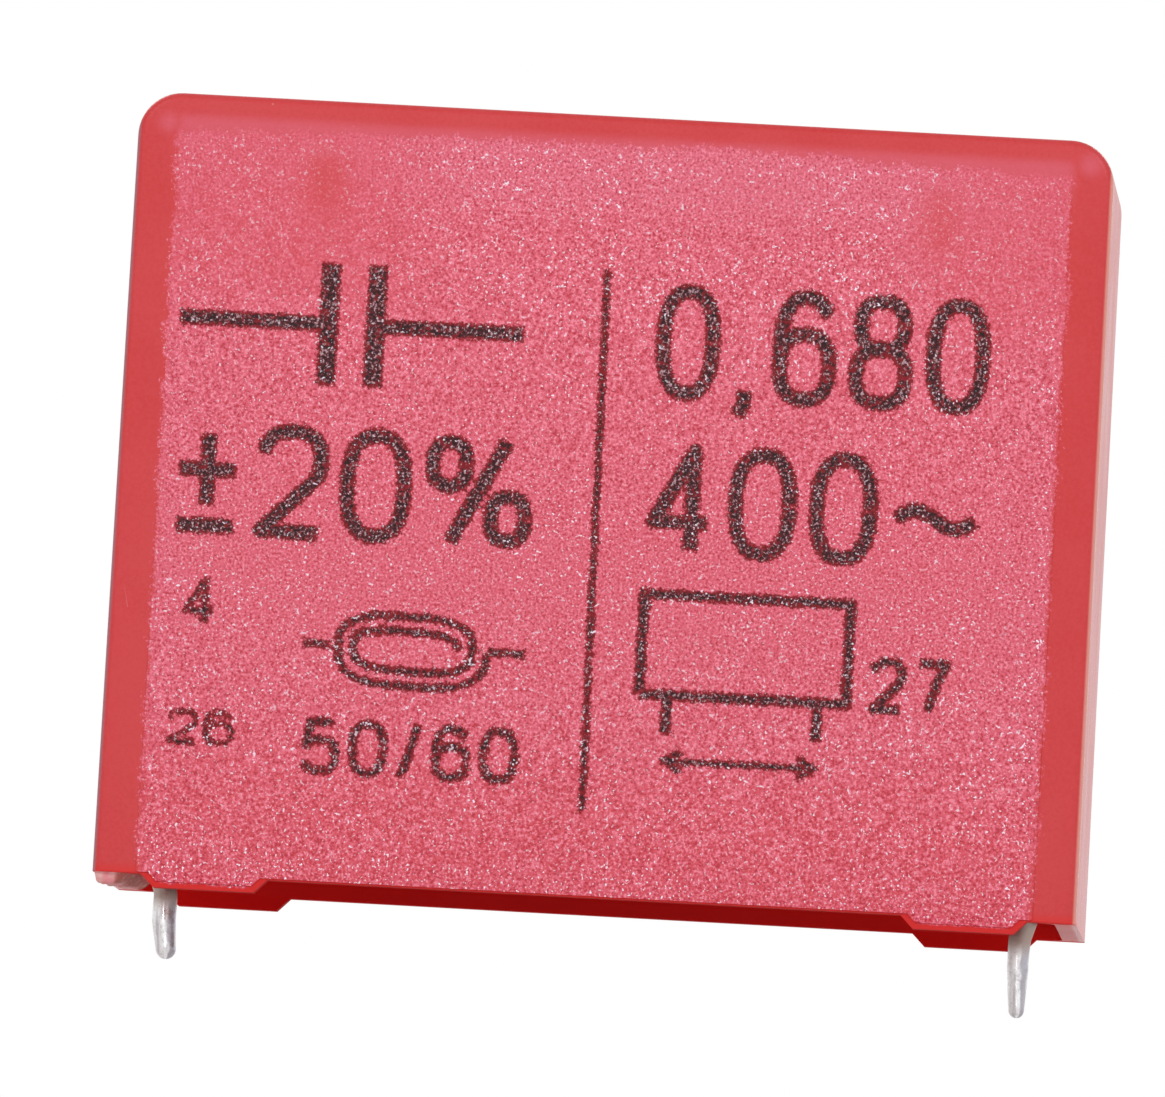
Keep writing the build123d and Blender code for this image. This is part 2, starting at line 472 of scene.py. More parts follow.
@dataclass(frozen=True)
class MouldedPlastic(Finish):
    """The case: red plastic, grained on its panels, with a dark marking on the front.

    A band is where something lies: its lower and upper limit and how soft they are, in
    millimetres. A span is where something changes from nothing to all.
    """

    red: Colour = (0.632, 0.055, 0.058)
    deep: Colour = (0.595, 0.037, 0.038)
    # Painted bounce light: the hollow's walls are a deeper, purer red, as light bounced between red
    # walls shows.
    inner: Colour = (0.980, 0.003, 0.001)
    rim: Colour = (0.680, 0.034, 0.032)
    haze: Colour = (0.730, 0.104, 0.147)
    warm_haze: Colour = (0.690, 0.078, 0.106)
    # Pale haze of the grain, and also the colour of the painted highlights along the top and at the
    # corners.
    pale_haze_and_highlight: Colour = (0.750, 0.158, 0.232)
    # The grain's crests and pits: paler crests are painted highlight, darker pits painted shade.
    crest: Colour = (0.910, 0.250, 0.325)
    pit: Colour = (0.500, 0.034, 0.056)
    # Painted glints: pale specks for facets that catch the lamps.
    painted_glint: Colour = (0.980, 0.870, 0.960)
    ink: Colour = (0.085, 0.006, 0.010)
    # Painted shade in the ink's pits and a painted highlight on its crests.
    ink_shaded_pit: Colour = (0.016, 0.000, 0.001)
    ink_lit_crest: Colour = (0.470, 0.290, 0.310)
    scorch: Colour = (0.230, 0.003, 0.008)
    dust: Colour = (0.800, 0.420, 0.430)
    # Painted light at the front's ends: a greyish painted reflection line on the left edge, a pale
    # painted highlight line on the right.
    left_edge_reflection: Colour = (0.380, 0.160, 0.190)
    right_edge_highlight: Colour = (1.000, 0.520, 0.420)
    stray: float = 0.9
    arch: float = 0.0015
    cluster_stray: float = 0.16
    low_stray: float = 0.25
    fringe: float = 0.88
    worn_contrast: float = 0.55
    worn_haze: float = 0.25
    top_highlight_share: float = 0.38
    painted_edge_shares: Span = (0.8, 0.6)
    clustered_glitter: float = 0.70
    dust_share: float = 0.25
    plain_relief: float = 0.04
    grain_cell: float = 0.085
    grain_depth: float = 0.018
    ink_ragged: float = 0.36
    ink_gap: float = 0.16
    inner_half: Point = (14.98, 6.72)
    worn_from: float = 2.0
    worn_side: Span = (6.0, 11.0)
    worn_top: Span = (17.5, 20.5)
    pale_above: tuple[float, ...] = (2.5, 6.5, 0.0, 0.36)
    paler_above: tuple[float, ...] = (21.5, 23.0, 0.0, 0.28)
    large_face: Band = (7.2, 8.0, 0.05)
    grain_sides: Band = (-14.31, 14.26, 0.08)
    grain_height: Band = (1.2, 24.47, 0.10)
    panel_sides: Band = (-1.0, 14.06, 0.12)
    panel_height: Band = (-1.0, 23.95, 0.12)
    foot_sides: Band = (10.75, 13.45, 0.15)
    foot_height: Band = (0.15, 0.50, 0.03)
    # Where the painted highlight along the top lies.
    top_highlight_sides: Band = (-1.0, 14.30, 0.30)
    top_highlight_height: Band = (23.60, 24.68, 0.22)
    painted_edge_reach: Band = (15.605, 17.0, 0.05)
    painted_edge_depth: Band = (-8.0, -6.95, 0.12)
    end_face: Span = (15.45, 15.60)
    rim_height: Band = (-1.0, 0.46, 0.03)
    rim_faces: Band = (6.70, 9.0, 0.02)
    draft: float = math.tan(math.radians(0.25))
    # Painted highlights: paler round patches at three top corners of the large faces.
    spots: tuple[HighlightSpot, ...] = (
        HighlightSpot((-14.60, -7.42, 24.43), 0.56, 0.36),
        HighlightSpot((14.85, -7.42, 24.62), 0.60, 0.40),
        HighlightSpot((14.60, 7.42, 24.43), 0.62, 0.5),
    )
    scuffs: tuple[Scuff, ...] = (
        Scuff((15.04, -7.42, 20.62), (15.05, -7.42, 20.28), 0.06, 0.35),
        Scuff((-12.45, -7.40, 24.20), (-12.05, -7.40, 24.27), 0.07, 0.16),
        Scuff((-12.05, -7.40, 24.27), (-11.70, -7.40, 24.22), 0.06, 0.14),
        Scuff((3.20, -7.40, 24.95), (4.10, -7.40, 24.92), 0.04, 0.12),
        Scuff((-15.20, -7.42, 9.60), (-15.05, -7.42, 8.90), 0.05, 0.15),
    )

    def paint(self, w: Surface) -> Looks:
        """Work out what goes into the shader's inputs.

        Args:
            w: The material's wiring.

        Returns:
            The inputs' values by name.
        """
        cluster, drift = w.drift(1.3), w.drift(4.0)
        strength, sharp = self._strength(w, cluster), self._sharp(w)
        grain = w.grain(self.grain_cell)
        contrast = strength * (sharp * (1 - self.worn_contrast) + self.worn_contrast)
        # How many painted glints show.
        shining = cluster * self.clustered_glitter + w.attribute(MouldedCase.GLITTER)
        shining = w.math("MULTIPLY", grain["Facet"], shining, clamp=True)
        surface = w.layers(
            self._plain(w, drift),
            (strength.spread(0.0, 0.85), self._haze(w, sharp)),
            # Grain pattern with painted highlight on its crests and painted shade in its pits.
            (grain["Crest"] * contrast, self.crest),
            (grain["Pit"] * contrast, self.pit),
        )
        surface = w.layers(
            self._printed(w, grain["Height"], surface),
            (shining * contrast, self.painted_glint),
            (w.dust(2.2, 0.05) * self.dust_share, self.dust),
        )
        relief = w.attribute(MouldedCase.STRENGTH) * (1 - self.plain_relief) + self.plain_relief
        return {
            "IOR": 1.30,
            "Base_Color": surface,
            "Roughness": self._roughness(w, strength, drift),
            "Normal": w.bump(grain["Height"] * relief, self.grain_depth),
        }

    def _strength(self, w: Surface, cluster: Level) -> Level:
        """Read how strong the grain is, and let it stray a little past the panel.

        Args:
            w: The material's wiring.
            cluster: A change over about a millimetre.

        Returns:
            The strength.
        """
        (x, _, z), (wide, thick, _) = w.at, w.away
        wander = (w.ragged - 0.5) * self.stray + (cluster - 0.5) * self.cluster_stray
        across, up = x + wander, x * x * self.arch + (z + wander)
        low = z + wander * self.low_stray
        reach = across.within(*self.grain_sides) * up.within(*self.grain_height)
        panel = wide.within(*self.panel_sides) * z.within(*self.panel_height)
        foot = wide.within(*self.foot_sides) * low.within(*self.foot_height)
        fringe = (reach * (1.0 - panel)).over(foot) * thick.within(*self.large_face)
        return w.attribute(MouldedCase.STRENGTH).over(fringe * self.fringe)

    def _sharp(self, w: Surface) -> Level:
        """How sharp the grain still is: fingers have worn the panels' top corners."""
        side = w.math("ABSOLUTE", w.at[0] - self.worn_from)
        return 1.0 - w.at[2].spread(*self.worn_top) * side.spread(*self.worn_side)

    def _haze(self, w: Surface, sharp: Level) -> Value:
        """Colour the grained plastic: mottled, and paler away from the feet and worn corners.

        Args:
            w: The material's wiring.
            sharp: How sharp the grain still is.

        Returns:
            The colour.
        """
        pale = w.at[2].spread(*self.pale_above) + w.at[2].spread(*self.paler_above)
        kept = sharp * (1 - self.worn_haze) + self.worn_haze
        return w.layers(self.haze, (w.drift(0.5), self.warm_haze), (pale * kept, self.pale_haze_and_highlight))

    def _plain(self, w: Surface, drift: Level) -> Value:
        """Colour the smooth plastic: drift, scratches, and painted light along its top, at its corners,
        its end edges and in its hollow.

        Args:
            w: The material's wiring.
            drift: A slow change over the surface.

        Returns:
            The colour.
        """
        (x, y, z), (wide, thick, _) = w.at, w.away
        shade = (drift * 0.5 + w.ragged.spread(0.3, 0.7, -0.3, 0.3)).over(0.0)
        past = (wide - self.inner_half[0]).over(thick - self.inner_half[1])
        # Painted highlight: a paler band along the top of both large faces.
        top = wide.within(*self.top_highlight_sides) * z.within(*self.top_highlight_height)
        haze = top * thick.within(*self.large_face) * self.top_highlight_share
        # Painted highlights at the corners.
        for spot in self.spots:
            away = w.vector("DISTANCE", w.place, spot.centre)
            haze = haze.over(away.spread(spot.radius, 0.0, 0.0, spot.share))
        # Painted reflection and highlight lines along the front's end edges.
        edge = (z * self.draft + wide).within(*self.painted_edge_reach) * y.within(*self.painted_edge_depth)
        coats = [
            (shade, self.deep),
            (z.spread(0.80, 0.45), self.rim),
            # Painted bounce light in the hollow.
            (past.spread(0.03, -0.03), self.inner),
            (haze, self.pale_haze_and_highlight),
            (edge * w.math("LESS_THAN", x, 0.0) * self.painted_edge_shares[0], self.left_edge_reflection),
            (edge * w.math("GREATER_THAN", x, 0.0) * self.painted_edge_shares[1], self.right_edge_highlight),
        ]
        for scuff in self.scuffs:
            values = {"From": scuff.start, "To": scuff.end, "Width": scuff.width}
            mark = w.use(w.effects.scratch, Place=w.place, **values)["Mask"]
            coats.append((mark * scuff.share, self.dust))
        return w.layers(self.red, *coats)

    def _printed(self, w: Surface, height: Level, surface: Value) -> Value:
        """Lay the marking over the plastic, with ragged and scorched edges.

        Args:
            w: The material's wiring.
            height: The grain's height.
            surface: The plastic's colour.

        Returns:
            The colour.
        """
        depth = w.attribute(MouldedCase.INK) + (w.ragged - 0.5) * self.ink_ragged
        # Painted shade in the ink's pits, painted highlight on its crests.
        pits, crests = height.spread(0.50, 0.42), height.spread(0.55, 0.68)
        ink = w.layers(self.ink, (pits, self.ink_shaded_pit), (crests, self.ink_lit_crest))
        missed = w.noise(w.place, 1 / self.ink_gap, detail=1.0).spread(0.55, 0.68, 0.0, 0.8)
        inked = depth.spread(0.03, 0.11) * (1.0 - missed)
        return w.layers(surface, (depth.spread(-0.05, 0.02), self.scorch), (inked, ink))

    def _roughness(self, w: Surface, strength: Level, drift: Level) -> Level:
        """Work out the roughness: smoother ends, and rougher grain and rims.

        Args:
            w: The material's wiring.
            strength: How strong the grain is.
            drift: A slow change over the surface.

        Returns:
            The roughness.
        """
        wide, thick, tall = w.away
        end = wide.spread(*self.end_face)
        rim = tall.within(*self.rim_height) * thick.within(*self.rim_faces)
        return strength * 0.04 + drift * 0.05 - end * 0.13 + rim * 0.60 + 0.38


@dataclass(frozen=True)
class CastResin(Finish):
    """The resin in the case's open side: dark, glossy and a little uneven."""

    red: Colour = (0.360, 0.012, 0.010)
    brown: Colour = (0.230, 0.020, 0.014)
    dust: Colour = (0.620, 0.420, 0.380)

    def paint(self, w: Surface) -> Looks:
        """Work out what goes into the shader's inputs.

        Args:
            w: The material's wiring.

        Returns:
            The inputs' values by name.
        """
        drift = w.drift(2.5)
        specks = w.dust(0.9, 0.06) * 0.4
        return {
            "IOR": 1.45,
            "Coat_Weight": 0.3,
            "Coat_Roughness": 0.05,
            "Base_Color": w.layers(self.red, (drift * 0.5, self.brown), (specks, self.dust)),
            "Roughness": drift.spread(0.0, 1.0, 0.12, 0.26),
            "Normal": w.bump(w.noise(w.place, 1 / 1.1), 0.10),
        }


@dataclass(frozen=True)
class CreptResin(Finish):
    """The thin resin that ran over the left end's rim: pale and cloudy, brown where thick."""

    pale: Colour = (0.900, 0.540, 0.500)
    pink: Colour = (0.860, 0.290, 0.310)
    brown: Colour = (0.540, 0.170, 0.140)
    deep: Colour = (0.720, 0.050, 0.060)
    brown_from: Span = (-15.12, -14.96)
    deep_from: Span = (-14.76, -14.50)

    def paint(self, w: Surface) -> Looks:
        """Work out what goes into the shader's inputs.

        Args:
            w: The material's wiring.

        Returns:
            The inputs' values by name.
        """
        drawn = w.stretched(1.0, 0.22, 1.0)
        cloud = w.drift(0.30, drawn)
        across = w.at[0] + (w.drift(0.9, drawn) - 0.5) * 0.22
        colour = w.layers(
            self.pale,
            (cloud, self.pink),
            (across.spread(*self.brown_from), self.brown),
            (across.spread(*self.deep_from), self.deep),
            (w.grain(0.16, drawn)["Crest"] * 0.45, self.pale),
        )
        return {"IOR": 1.20, "Base_Color": colour, "Roughness": cloud * 0.2 + 0.62}


@dataclass(frozen=True)
class TinnedWire(Finish):
    """A lead: bright tin with dimples, with painted highlight and shade down its sides, duller near the
    case and browner there as painted shadow.
    """

    tin: Colour = (0.820, 0.800, 0.800)
    # Painted highlight and painted shade down the sides of the wire.
    bright: Colour = (0.980, 0.985, 0.985)
    painted_shade: Colour = (0.440, 0.420, 0.475)
    grey: Colour = (0.350, 0.315, 0.345)
    # Painted shadow of the case's rim on the top of the lead.
    rim_shadow_brown: Colour = (0.430, 0.340, 0.300)
    streak: float = 0.20
    near_case_height: Span = (-0.60, 0.10)
    painted_shade_side: Band = (0.12, 0.85, 0.14)
    highlight_side: Band = (-0.42, 0.02, 0.10)

    def paint(self, w: Surface) -> Looks:
        """Work out what goes into the shader's inputs.

        Args:
            w: The material's wiring.

        Returns:
            The inputs' values by name.
        """
        drift, grain = w.drift(0.6), w.grain(0.13)
        streaks = w.noise(w.stretched(1.0, 1.0, 0.10), 1 / self.streak, detail=1.0)
        # Painted shadow near the case; the wire is rougher there as well.
        near_case = w.at[2].spread(*self.near_case_height)
        # Painted highlight and shade, by how far each point faces the lit side.
        flank = w.attribute(TinnedLeads.LIT_SIDE) + (drift - 0.5) * 0.30
        colour = w.layers(
            self.tin,
            (streaks.spread(0.50, 0.68) * 0.55, self.grey),
            (flank.within(*self.painted_shade_side) * 0.85, self.painted_shade),
            (flank.within(*self.highlight_side) * 0.85, self.bright),
            (grain["Pit"] * 0.30, self.grey),
            (near_case, self.rim_shadow_brown),
        )
        return {
            "Metallic": 1.0,
            "Base_Color": colour,
            "Roughness": near_case * 0.15 + drift * 0.10 + 0.20,
            "Normal": w.bump(grain["Height"], 0.003),
        }


@dataclass(frozen=True)
class SprayedMetal(Finish):
    """The ends of the winding: zinc that was sprayed on, rough and grey."""

    light: Colour = (0.560, 0.560, 0.565)
    dark: Colour = (0.300, 0.300, 0.310)

    def paint(self, w: Surface) -> Looks:
        """Work out what goes into the shader's inputs.

        Args:
            w: The material's wiring.

        Returns:
            The inputs' values by name.
        """
        drift, grain = w.drift(2.0), w.grain(0.30)
        coats = [(level * 0.6, self.dark) for level in (drift, grain["Pit"])]
        return {
            "Metallic": 0.8,
            "Base_Color": w.layers(self.light, *coats),
            "Roughness": drift * 0.2 + 0.55,
            "Normal": w.bump(grain["Height"], 0.08),
        }


@dataclass(frozen=True)
class FilmTurns(Finish):
    """Film wound in flat turns: fine lines that follow the roll's length."""

    light: Colour = (0.640, 0.645, 0.660)
    dark: Colour = (0.420, 0.430, 0.450)
    line: float = 0.22
    metallic: float = 0.7
    roughness: float = 0.24

    def paint(self, w: Surface) -> Looks:
        """Work out what goes into the shader's inputs.

        Args:
            w: The material's wiring.

        Returns:
            The inputs' values by name.
        """
        lines = w.noise(w.stretched(0.04, 1.0, 1.0), 1 / self.line)
        return {
            "Metallic": self.metallic,
            "Base_Color": w.layers(self.light, (lines.spread(0.3, 0.7), self.dark)),
            "Roughness": w.drift(3.0) * 0.12 + self.roughness,
            "Normal": w.bump(lines, 0.01),
        }


# The marking's strokes


def bow(
    centre: Point, radii: Point, start: float = 0, end: float = 360, steps: int = 20, square: float = 2.5
) -> Line:
    """Points along a slightly squared oval, or along a part of it.

    Args:
        centre: The oval's centre.
        radii: Half its width and half its height.
        start: The first point's angle in degrees, counted from the right and up.
        end: The last point's angle.
        steps: How many straight pieces the stretch has.
        square: 2 for an ellipse, and more for straighter sides.

    Returns:
        The points.
    """
    angles = np.radians(np.linspace(start, end, steps + 1))
    ways = np.stack((np.cos(angles), np.sin(angles)), 1)
    points = np.array(centre) + np.array(radii) * np.copysign(np.abs(ways) ** (2 / square), ways)
    return [tuple(point) for point in points.tolist()]


GLYPHS: dict[str, list[Line]] = {
    "0": [bow((0.5, 0.5), (0.5, 0.5), steps=36)],
    "2": [bow((0.5, 0.72), (0.5, 0.28), 170, -30) + [(0.0, 0.0), (1.0, 0.0)]],
    "4": [[(1.0, 0.28), (0.0, 0.28), (0.70, 1.0), (0.70, 0.0)]],
    "5": [[(0.92, 1.0), (0.16, 1.0), (0.05, 0.50)] + bow((0.48, 0.32), (0.52, 0.32), 140, -155)],
    "6": [
        bow((0.5, 0.32), (0.5, 0.32), steps=30),
        bow((0.5, 0.5), (0.5, 0.5), 38, 180) + [(0.0, 0.32)],
    ],
    "7": [[(0.0, 1.0), (1.0, 1.0), (0.60, 0.50), (0.40, 0.0)]],
    "8": [bow((0.5, 0.76), (0.44, 0.24), steps=28), bow((0.5, 0.27), (0.5, 0.27), steps=30)],
    ",": [[(0.5, 0.06), (0.5, -0.06), (0.1, -0.20)]],
    "~": [[(x / 16, 0.44 + 0.09 * math.sin(2 * math.pi * x / 16)) for x in range(17)]],
    "/": [[(0.1, -0.05), (0.9, 1.05)]],
    "%": [
        bow((0.18, 0.76), (0.18, 0.22), steps=24),
        bow((0.82, 0.24), (0.18, 0.22), steps=24),
        [(0.22, -0.02), (0.78, 1.02)],
    ],
    "±": [[(0.0, 0.58), (1.0, 0.58)], [(0.5, 0.94), (0.5, 0.22)], [(0.0, 0.02), (1.0, 0.02)]],
}
GLYPH_SHARES: dict[str, float] = {",": 0.28, "/": 0.62, "~": 1.42, "%": 1.65}


@dataclass(frozen=True)
class Stroke:
    """One line of the marking, with flat ends."""

    points: Line
    width: float


@dataclass
class Marking:
    """The generic print on the front: plain numbers and simple pictures, in millimetres."""

    heavy: float = 0.50
    medium: float = 0.36
    fine: float = 0.29
    light: float = 0.24
    tracking: float = 0.72
    strokes: list[Stroke] = field(default_factory=list)

    def number(self, text: str, corner: Point, size: Point, width: float) -> None:
        """Write plain figures in a box.

        Args:
            text: The figures and signs.
            corner: The box's lower left corner.
            size: The box's width and height.
            width: The width of the strokes.
        """
        gap = self.tracking * width
        shares = [GLYPH_SHARES.get(sign, 1.0) for sign in text]
        unit = (size[0] - gap * (len(text) - 1) - width * len(text)) / sum(shares)
        left, low, high = corner[0] + width / 2, corner[1] + width / 2, size[1] - width
        for sign, share in zip(text, shares):
            wide = unit * share
            for line in GLYPHS[sign]:
                self.line(width, *((left + x * wide, low + z * high) for x, z in line))
            left += wide + width + gap

    def line(self, width: float, *points: Point) -> None:
        """Draw one line through the points."""
        self.strokes.append(Stroke(list(points), width))

    def two_plates(self, left: float, right: float, low: float, high: float) -> None:
        """Draw the usual sign for a capacitor: two plates with a lead each.

        Args:
            left: Where the left lead starts.
            right: Where the right lead ends.
            low: The plates' lower end.
            high: Their upper end.
        """
        middle, level, half_gap = (left + right) / 2, (low + high) / 2, 0.75
        for at, outer in ((middle - half_gap, left), (middle + half_gap, right)):
            self.line(self.heavy * 1.25, (at, low), (at, high))
            self.line(self.heavy, (outer, level), (at, level))

    def flat_roll(self, centre: Point, half: Point, turns: int) -> None:
        """Draw a flattened roll with a short lead at each end.

        Args:
            centre: The roll's middle.
            half: Half its width and half its height.
            turns: How many turns it shows.
        """
        steps = 26 * turns
        spiral = []
        for step in range(steps + 1):
            size = 0.30 + 0.70 * step / steps
            angle = step * 360 * turns / steps
            radii = (half[0] - half[1] + half[1] * size, half[1] * size)
            spiral += bow(centre, radii, angle, angle, steps=0, square=3.0)
        self.line(self.fine, *spiral)
        for side, length in ((-1, 0.9), (1, 1.2)):
            at = centre[0] + side * half[0]
            self.line(self.fine, (at, centre[1]), (at + side * length, centre[1]))

    def box_with_leads(self, left: float, right: float, low: float, high: float) -> None:
        """Draw a box on two leads, with an arrow for the distance between them.

        Args:
            left: The box's left side.
            right: Its right side.
            low: The arrow's height.
            high: The box's top.
        """
        bottom, lead_end, inset, barb = low + 2.1, low + 0.85, 0.9, (0.55, 0.32)
        corners = ((left, bottom), (left, high), (right, high), (right, bottom), (left, bottom))
        self.line(self.medium, *corners)
        for side, at in ((1, left + inset), (-1, right - inset)):
            inward = at + side * barb[0]
            self.line(self.medium, (at, bottom), (at, lead_end))
            self.line(self.light, (inward, low + barb[1]), (at, low), (inward, low - barb[1]))
        self.line(self.light, (left + inset, low), (right - inset, low))

    def lay_out(self) -> Marking:
        """Place everything that the front shows.

        Returns:
            The marking itself.
        """
        self.two_plates(-13.9, -2.9, 16.3, 20.2)
        self.number("±20%", (-13.9, 11.3), (11.6, 3.7), self.heavy)
        self.number("4", (-13.3, 8.4), (1.1, 1.6), self.light)
        self.number("26", (-13.6, 4.6), (2.2, 1.15), self.light * 0.8)
        self.flat_roll((-6.0, 8.05), (2.5, 1.35), 2)
        self.number("50/60", (-9.3, 3.85), (7.0, 1.85), self.medium * 0.85)
        self.line(self.light, (-0.36, 20.45), (-0.21, 3.16))
        self.number("0,680", (1.3, 16.4), (10.7, 3.75), self.heavy)
        self.number("400~", (1.3, 11.4), (10.7, 3.65), self.heavy)
        self.box_with_leads(1.4, 8.0, 4.9, 10.2)
        self.number("27", (8.7, 6.75), (2.6, 1.85), self.medium * 0.9)
        return self

    def depth(self, x: np.ndarray, z: np.ndarray, reach: float = 0.4) -> np.ndarray:
        """How deep points lie inside the print.

        Args:
            x: The points' X, in millimetres.
            z: Their Z.
            reach: How far outside a stroke is still told apart.

        Returns:
            For each point its distance to the nearest edge, which is negative outside.
        """
        deepest = np.full(x.shape, -reach)
        for stroke in self.strokes:
            half = stroke.width / 2
            line = np.array(stroke.points)
            low, high = line.min(0) - half - reach, line.max(0) + half + reach
            near = (x > low[0]) & (x < high[0]) & (z > low[1]) & (z < high[1])
            spots = np.stack((x[near], z[near]), 1)
            best = deepest[near]
            for begin, finish in pairwise(line):
                length = float(np.hypot(*(finish - begin)))
                run = (finish - begin) / length
                off = spots - begin
                along, across = off @ run, off @ np.array((-run[1], run[0]))
                beyond = np.abs(along - length / 2) - length / 2
                aside = np.abs(across) - half
                outside = np.hypot(np.maximum(beyond, 0), np.maximum(aside, 0))
                best = np.maximum(best, -(outside + np.minimum(np.maximum(beyond, aside), 0)))
            for joint in line[1:-1]:
                best = np.maximum(best, half - np.hypot(*(spots - joint).T))
            deepest[near] = best
        return deepest


# Geometry


def in_scene(name: str, data: bpy.types.ID) -> Piece:
    """Make an object and put it in the scene.

    Args:
        name: Its name.
        data: Its mesh, lamp or lens.

    Returns:
        The object.
    """
    made = bpy.data.objects.new(name, data)
    bpy.context.scene.collection.objects.link(made)
    return made


def as_piece(name: str, shape: Shape) -> Piece:
    """Turn a finished shape into a piece that is shaded smooth.

    Args:
        name: The piece's name.
        shape: The shape, which is freed.

    Returns:
        The piece.
    """
    mesh = bpy.data.meshes.new(name)
    shape.to_mesh(mesh)
    shape.free()
    mesh.polygons.foreach_set("use_smooth", np.ones(len(mesh.polygons), bool))
    return in_scene(name, mesh)


def read(items: Sequence, name: str, width: int = 1) -> np.ndarray:
    """Read one property of all items: whole numbers, or rows of floats if it has a width."""
    values = np.zeros(len(items) * width, float if width > 1 else int)
    items.foreach_get(name, values)
    return values.reshape(-1, width) if width > 1 else values


def eased(share: float | np.ndarray) -> float | np.ndarray:
    """Ease a share from 0 to 1 in and out."""
    return share * share * (3 - 2 * share)


@dataclass(frozen=True)
class Relief:
    """Uneven heights between two feature sizes, as spark erosion leaves in a mould."""

    seed: int
    finest: float
    coarsest: float
    depth: float
    span: float = 34.0
    samples: int = 1024

    def sheet(self) -> np.ndarray:
        """Work out a square sheet of heights.

        Returns:
            Heights with a mean of 0 and a deviation of 1, which repeat past the edges.
        """
        chance = np.random.default_rng(self.seed)
        waves = np.fft.fftfreq(self.samples, self.span / self.samples)
        pitch = np.hypot(*np.meshgrid(waves, waves))
        band = np.exp(-((pitch * self.finest) ** 2)) * (1 - np.exp(-((pitch * self.coarsest) ** 2)))
        rough = np.fft.ifft2(np.fft.fft2(chance.standard_normal(pitch.shape)) * band).real
        return rough / rough.std()

    def at(self, x: np.ndarray, z: np.ndarray) -> np.ndarray:
        """Read the heights at some points.

        Args:
            x: The points' X, in millimetres.
            z: Their Z.

        Returns:
            How far each point lies below the surface, in millimetres and never under 0.
        """
        sheet = self.sheet()
        across, up = (c * self.samples / self.span for c in (x, z))
        column, row = np.floor(across).astype(int), np.floor(up).astype(int)
        right, above = across - column, up - row
        total = 0.0
        for dx, share_x in ((0, 1 - right), (1, right)):
            for dz, share_z in ((0, 1 - above), (1, above)):
                part = sheet[(row + dz) % self.samples, (column + dx) % self.samples]
                total = total + part * share_x * share_z
        return np.clip(self.depth * (1 + 0.5 * total), 0.0, 3 * self.depth)


@dataclass(frozen=True)
class SoftOval:
    """A soft oval on a panel, in which something changes by a share."""

    centre: Point
    half: Point
    share: float

    def at(self, x: np.ndarray, z: np.ndarray) -> np.ndarray:
        """The share at some points."""
        away = ((x - self.centre[0]) / self.half[0]) ** 2 + ((z - self.centre[1]) / self.half[1]) ** 2
        return self.share * np.exp(-away)


